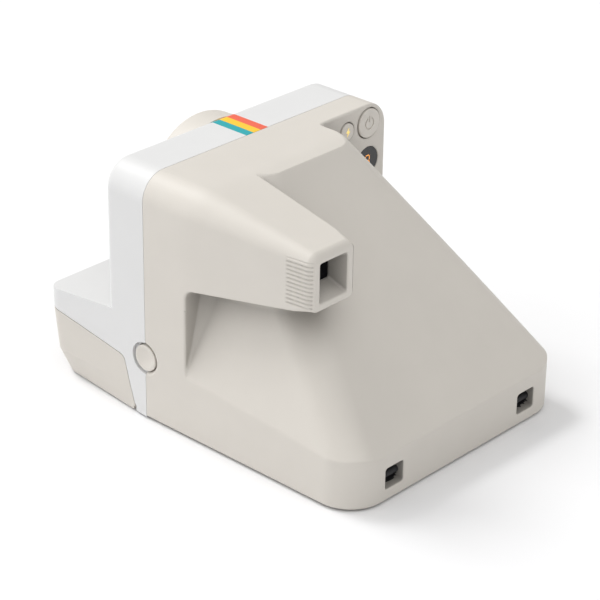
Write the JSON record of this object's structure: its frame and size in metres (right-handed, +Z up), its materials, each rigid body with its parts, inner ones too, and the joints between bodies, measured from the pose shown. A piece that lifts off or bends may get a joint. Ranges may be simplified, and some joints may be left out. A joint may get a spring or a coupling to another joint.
{
  "type": "instant camera",
  "caption": "Box-type instant camera with a sloping light-cone back, side viewfinder, hinged film door, film rollers, gear train, shutter, flash and sprung buttons.",
  "frame": {"origin": "on the surface the camera stands on, under the middle of its footprint", "axes": "+Z up, the lens faces -Y, the viewfinder is on the +X side"},
  "size_m": [0.1122, 0.1502, 0.094],
  "materials": {
    "white_shell": "fine satin moulded plastic",
    "beige_shell": "fine satin moulded plastic",
    "beige_door": "fine satin moulded plastic",
    "black_plastic": "black moulded plastic",
    "gloss_black": "polished dark plastic",
    "red_button": "satin red plastic",
    "beige_button": "fine satin moulded plastic",
    "teal_inlay": "satin inlay",
    "yellow_inlay": "satin inlay",
    "coral_inlay": "satin inlay",
    "rubber": "matt rubber",
    "steel": "brushed",
    "roller_steel": "ground",
    "gear_plastic": "natural acetal",
    "glass": "coated optical glass",
    "dark_glass": "dark viewfinder glass",
    "flash_glass": "prismatic clear plastic",
    "mirror": "front-silvered",
    "reflector": "polished reflector",
    "circuit_green": "solder mask",
    "battery_wrap": "shrink wrap",
    "capacitor_sleeve": "printed sleeve",
    "cartridge_black": "black moulded plastic",
    "lamp_yellow": "lit lamp",
    "digit_orange": "lit digit"
  },
  "bodies": {
    "camera_body": {"rear_housing": "beige_shell", "base_plate": "beige_shell", "lens_barrel": "beige_shell", "front_casing": "white_shell", "strap_bars": "black_plastic", "rubber_feet": "rubber", "base_screws": "steel", "accent_band_teal": "teal_inlay", "accent_band_yellow": "yellow_inlay", "accent_band_coral": "coral_inlay", "hinge_pins": "steel", "gear_plate": "black_plastic", "motor": "steel", "film_cartridge": "cartridge_black", "film_chamber": "black_plastic", "light_cone": "black_plastic", "mirror": "mirror", "lens_bezel": "gloss_black", "front_lens": "glass", "rear_lens": "glass", "shutter_frame": "black_plastic", "flash_window": "flash_glass", "flash_reflector": "reflector", "flash_tube": "glass", "flash_capacitor": "capacitor_sleeve", "finder_window": "glass", "finder_tunnel": "black_plastic", "eyepiece_glass": "dark_glass", "flash_lamp": "lamp_yellow", "counter_digit": "digit_orange", "counter_display": "gloss_black", "battery": "battery_wrap", "main_board": "circuit_green", "panel_board": "circuit_green", "usb_port": "steel"},
    "film_door": {"film_door": "beige_door", "door_feet": "rubber", "roller_frame": "steel"},
    "lower_roller": {"lower_roller": "roller_steel", "roller_gear": "gear_plastic"},
    "upper_roller": {"upper_roller": "roller_steel"},
    "relay_gear": {"relay_gear": "gear_plastic"},
    "idler_gear": {"idler_gear": "gear_plastic"},
    "reduction_gear": {"reduction_gear": "gear_plastic"},
    "motor_rotor": {"motor_shaft": "steel", "motor_pinion": "gear_plastic"},
    "shutter_blade_left": {"shutter_blade_left": "steel"},
    "shutter_blade_right": {"shutter_blade_right": "steel"},
    "shutter_button": {"shutter_button": "red_button"},
    "timer_button": {"timer_button": "beige_button"},
    "power_button": {"power_button": "beige_button"},
    "flash_button": {"flash_button": "beige_button"},
    "door_release": {"release_button": "beige_button", "door_latch": "black_plastic"}
  },
  "joints": [
    {"name": "film_door_hinge", "type": "hinge", "parent": "camera_body", "child": "film_door", "pos_m": [0, -0.0309, 0.0022], "axis": [1, 0, 0], "range_deg": [0, 75]},
    {"name": "lower_roller_spin", "type": "hinge", "parent": "film_door", "child": "lower_roller", "pos_m": [0, -0.063, 0.0173], "axis": [1, 0, 0], "continuous": true},
    {"name": "upper_roller_spin", "type": "hinge", "parent": "film_door", "child": "upper_roller", "pos_m": [0, -0.063, 0.0256], "axis": [1, 0, 0], "continuous": true},
    {"name": "relay_gear_spin", "type": "hinge", "parent": "camera_body", "child": "relay_gear", "pos_m": [0, -0.05877, 0.02636], "axis": [1, 0, 0], "continuous": true},
    {"name": "idler_gear_spin", "type": "hinge", "parent": "camera_body", "child": "idler_gear", "pos_m": [0, -0.04677, 0.02636], "axis": [1, 0, 0], "continuous": true},
    {"name": "reduction_gear_spin", "type": "hinge", "parent": "camera_body", "child": "reduction_gear", "pos_m": [0, -0.03102, 0.02914], "axis": [1, 0, 0], "continuous": true},
    {"name": "motor_spin", "type": "hinge", "parent": "camera_body", "child": "motor_rotor", "pos_m": [0, -0.02527, 0.0391], "axis": [1, 0, 0], "continuous": true},
    {"name": "left_blade_swing", "type": "hinge", "parent": "camera_body", "child": "shutter_blade_left", "pos_m": [-0.017, -0.0347, 0.052], "axis": [0, -1, 0], "range_deg": [0, 45], "stiffness_Nm_per_rad": 0.0004, "springref_deg": -28.65},
    {"name": "right_blade_swing", "type": "hinge", "parent": "camera_body", "child": "shutter_blade_right", "pos_m": [0.017, -0.0339, 0.052], "axis": [0, 1, 0], "range_deg": [0, 45], "stiffness_Nm_per_rad": 0.0004, "springref_deg": -28.65},
    {"name": "shutter_button_press", "type": "slide", "parent": "camera_body", "child": "shutter_button", "axis": [0, 1, 0], "range_m": [0, 0.0012], "stiffness_N_per_m": 450, "springref_m": -0.0015},
    {"name": "timer_button_press", "type": "slide", "parent": "camera_body", "child": "timer_button", "axis": [0, 1, 0], "range_m": [0, 0.0006], "stiffness_N_per_m": 450, "springref_m": -0.0015},
    {"name": "power_button_press", "type": "slide", "parent": "camera_body", "child": "power_button", "axis": [0, -1, 0], "range_m": [0, 0.0008], "stiffness_N_per_m": 450, "springref_m": -0.0015},
    {"name": "flash_button_press", "type": "slide", "parent": "camera_body", "child": "flash_button", "axis": [0, -1, 0], "range_m": [0, 0.0008], "stiffness_N_per_m": 450, "springref_m": -0.0015},
    {"name": "door_release_press", "type": "slide", "parent": "camera_body", "child": "door_release", "axis": [-1, 0, 0], "range_m": [0, 0.0015], "stiffness_N_per_m": 450, "springref_m": -0.0015}
  ],
  "couplings": [
    {"joint": "upper_roller_spin", "follows": "lower_roller_spin", "ratio": -1},
    {"joint": "relay_gear_spin", "follows": "lower_roller_spin", "ratio": -1},
    {"joint": "idler_gear_spin", "follows": "lower_roller_spin", "ratio": 0.71429},
    {"joint": "reduction_gear_spin", "follows": "lower_roller_spin", "ratio": -0.55556},
    {"joint": "motor_spin", "follows": "lower_roller_spin", "ratio": 2},
    {"joint": "right_blade_swing", "follows": "left_blade_swing", "ratio": 1}
  ]
}
